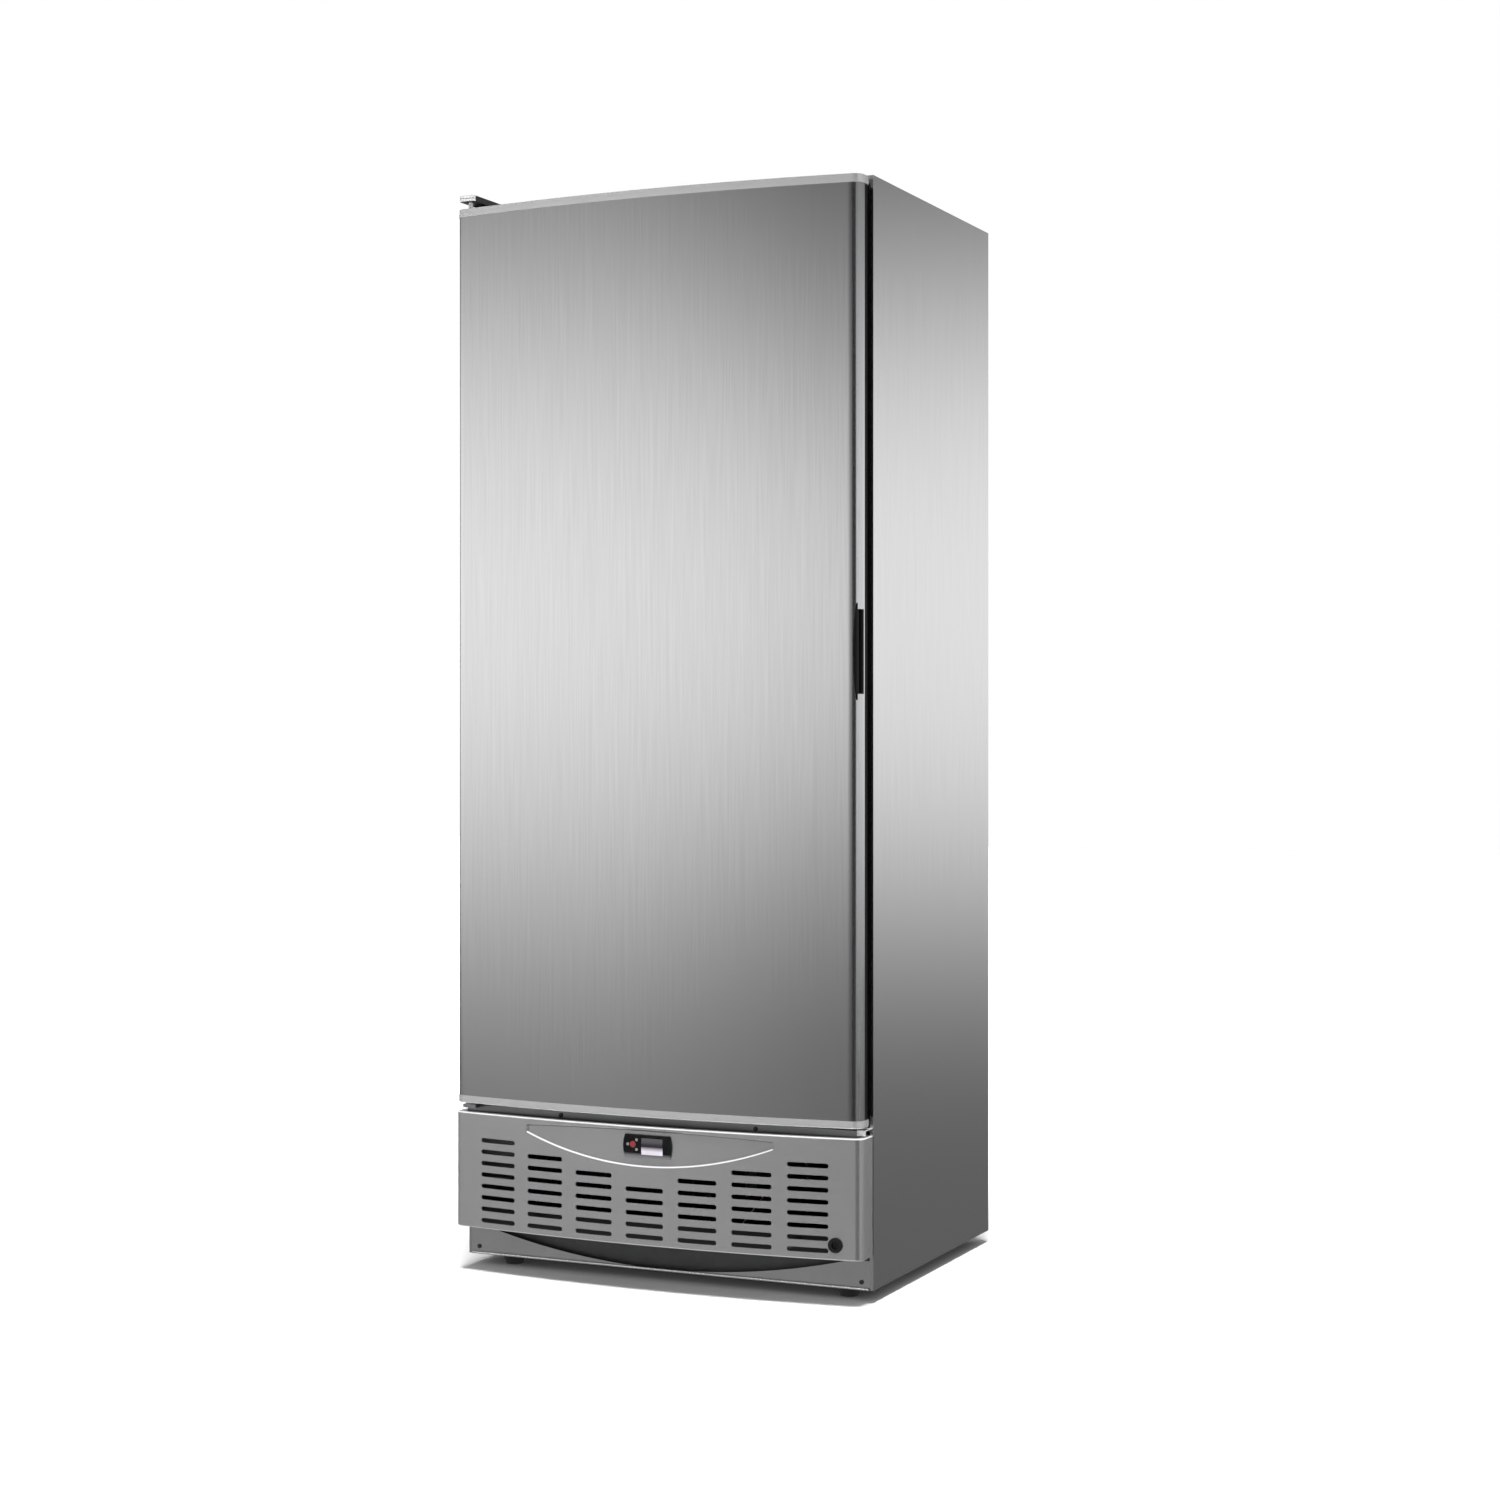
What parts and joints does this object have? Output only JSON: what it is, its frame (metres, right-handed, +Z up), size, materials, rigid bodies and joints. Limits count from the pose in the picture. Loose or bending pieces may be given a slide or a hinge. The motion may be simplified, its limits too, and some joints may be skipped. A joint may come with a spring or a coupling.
{
  "type": "upright freezer",
  "caption": "Tall storage freezer with a bowed steel door hinged on the left, a slotted bowed grille with a controller below it, inner shelves and a cooling unit.",
  "frame": {"origin": "on the floor, in the middle of the outer box", "axes": "+X to the right seen from the front, +Y to the back, +Z up"},
  "size_m": [0.775, 0.6934, 1.895],
  "materials": {
    "cabinet_steel": "brushed stainless sheet, vertical grain",
    "door_steel": "brushed stainless sheet, vertical grain",
    "galvanised": "galvanised sheet",
    "grille_silver": "silver-grey moulded plastic",
    "cap_silver": "silver-grey moulded plastic",
    "trim_silver": "satin extruded trim",
    "black_plastic": "black moulded plastic",
    "dark_sheet": "dark grey painted sheet",
    "white_liner": "white vacuum-formed plastic",
    "foam": "rigid foam",
    "gasket": "soft extruded gasket",
    "rubber": "black rubber",
    "foot_black": "black foot",
    "bezel_black": "gloss black bezel",
    "display": "dark display window",
    "button_grey": "light key",
    "button_red": "red key",
    "black_enamel": "black enamel",
    "aluminium": "plain fins",
    "motor_grey": "dark grey motor",
    "fan_plastic": "moulded fan",
    "copper": "copper pipe",
    "zinc": "zinc plated",
    "screw_black": "black screws",
    "white_wire": "white coated wire"
  },
  "bodies": {
    "cabinet": {"air_baffle": "dark_sheet", "back_panel": "galvanised", "base_tray": "galvanised", "bay_ceiling": "galvanised", "bay_rear_cover": "galvanised", "compressor": "black_enamel", "compressor_mounts": "rubber", "condenser": "black_enamel", "condenser_fan_motor": "motor_grey", "controller_housing": "bezel_black", "display_lens": "display", "drain_spout": "white_liner", "drip_tray": "black_plastic", "electrical_box": "black_plastic", "evaporator": "aluminium", "evaporator_cover": "white_liner", "evaporator_fan_motor": "motor_grey", "fan_shroud": "galvanised", "foam_insulation": "foam", "front_frame": "black_plastic", "grille_bush": "black_plastic", "grille_panel": "grille_silver", "hinge_hole_plug": "black_plastic", "hinge_pins": "zinc", "hinge_rail": "galvanised", "inner_liner": "white_liner", "kick_plate": "cabinet_steel", "left_side_panel": "cabinet_steel", "lower_hinge_bracket": "galvanised", "refrigerant_pipes": "copper", "right_side_panel": "cabinet_steel", "screws": "screw_black", "shelf_clips": "white_liner", "shelf_pilasters": "zinc", "top_hinge_bracket": "cap_silver", "top_panel": "cabinet_steel", "wall_spacers": "black_plastic", "wire_shelf_1": "white_wire", "wire_shelf_2": "white_wire", "wire_shelf_3": "white_wire", "wire_shelf_4": "white_wire"},
    "door": {"door_skin": "door_steel", "door_side_trims": "trim_silver", "door_top_cap": "cap_silver", "door_bottom_cap": "cap_silver", "door_foam": "foam", "door_frame": "black_plastic", "door_inner_panel": "white_liner", "door_gasket": "gasket", "handle_pocket": "black_plastic"},
    "condenser_fan": {"condenser_fan_blade": "fan_plastic"},
    "evaporator_fan": {"evaporator_fan_blade": "fan_plastic"},
    "front_left_foot": {"foot_front_left": "foot_black"},
    "front_right_foot": {"foot_front_right": "foot_black"},
    "rear_left_foot": {"foot_rear_left": "foot_black"},
    "rear_right_foot": {"foot_rear_right": "foot_black"},
    "power_button": {"button_power": "button_red"},
    "left_button": {"button_left": "button_grey"},
    "upper_button": {"button_upper": "button_grey"},
    "lower_button": {"button_lower": "button_grey"}
  },
  "joints": [
    {"name": "door_hinge", "type": "hinge", "parent": "cabinet", "child": "door", "pos_m": [-0.362, -0.30725, 1.0845], "axis": [0, 0, -1], "range_deg": [0, 115]},
    {"name": "condenser_fan_spin", "type": "hinge", "parent": "cabinet", "child": "condenser_fan", "pos_m": [-0.13, -0.10825, 0.1285], "axis": [0, 1, 0], "continuous": true},
    {"name": "evaporator_fan_spin", "type": "hinge", "parent": "cabinet", "child": "evaporator_fan", "pos_m": [0, -0.06725, 1.717], "axis": [0, 1, 0], "continuous": true},
    {"name": "front_left_foot_turn", "type": "hinge", "parent": "cabinet", "child": "front_left_foot", "pos_m": [-0.3235, -0.21925, 0.011], "axis": [0, 0, 1], "continuous": true},
    {"name": "front_right_foot_turn", "type": "hinge", "parent": "cabinet", "child": "front_right_foot", "pos_m": [0.3235, -0.21925, 0.011], "axis": [0, 0, 1], "continuous": true},
    {"name": "rear_left_foot_turn", "type": "hinge", "parent": "cabinet", "child": "rear_left_foot", "pos_m": [-0.3235, 0.25675, 0.011], "axis": [0, 0, 1], "continuous": true},
    {"name": "rear_right_foot_turn", "type": "hinge", "parent": "cabinet", "child": "rear_right_foot", "pos_m": [0.3235, 0.25675, 0.011], "axis": [0, 0, 1], "continuous": true},
    {"name": "power_button_push", "type": "slide", "parent": "cabinet", "child": "power_button", "axis": [0, 1, 0], "range_m": [0, 0.0008], "stiffness_N_per_m": 300},
    {"name": "left_button_push", "type": "slide", "parent": "cabinet", "child": "left_button", "axis": [0, 1, 0], "range_m": [0, 0.0008], "stiffness_N_per_m": 300},
    {"name": "upper_button_push", "type": "slide", "parent": "cabinet", "child": "upper_button", "axis": [0, 1, 0], "range_m": [0, 0.0008], "stiffness_N_per_m": 300},
    {"name": "lower_button_push", "type": "slide", "parent": "cabinet", "child": "lower_button", "axis": [0, 1, 0], "range_m": [0, 0.0008], "stiffness_N_per_m": 300}
  ]
}
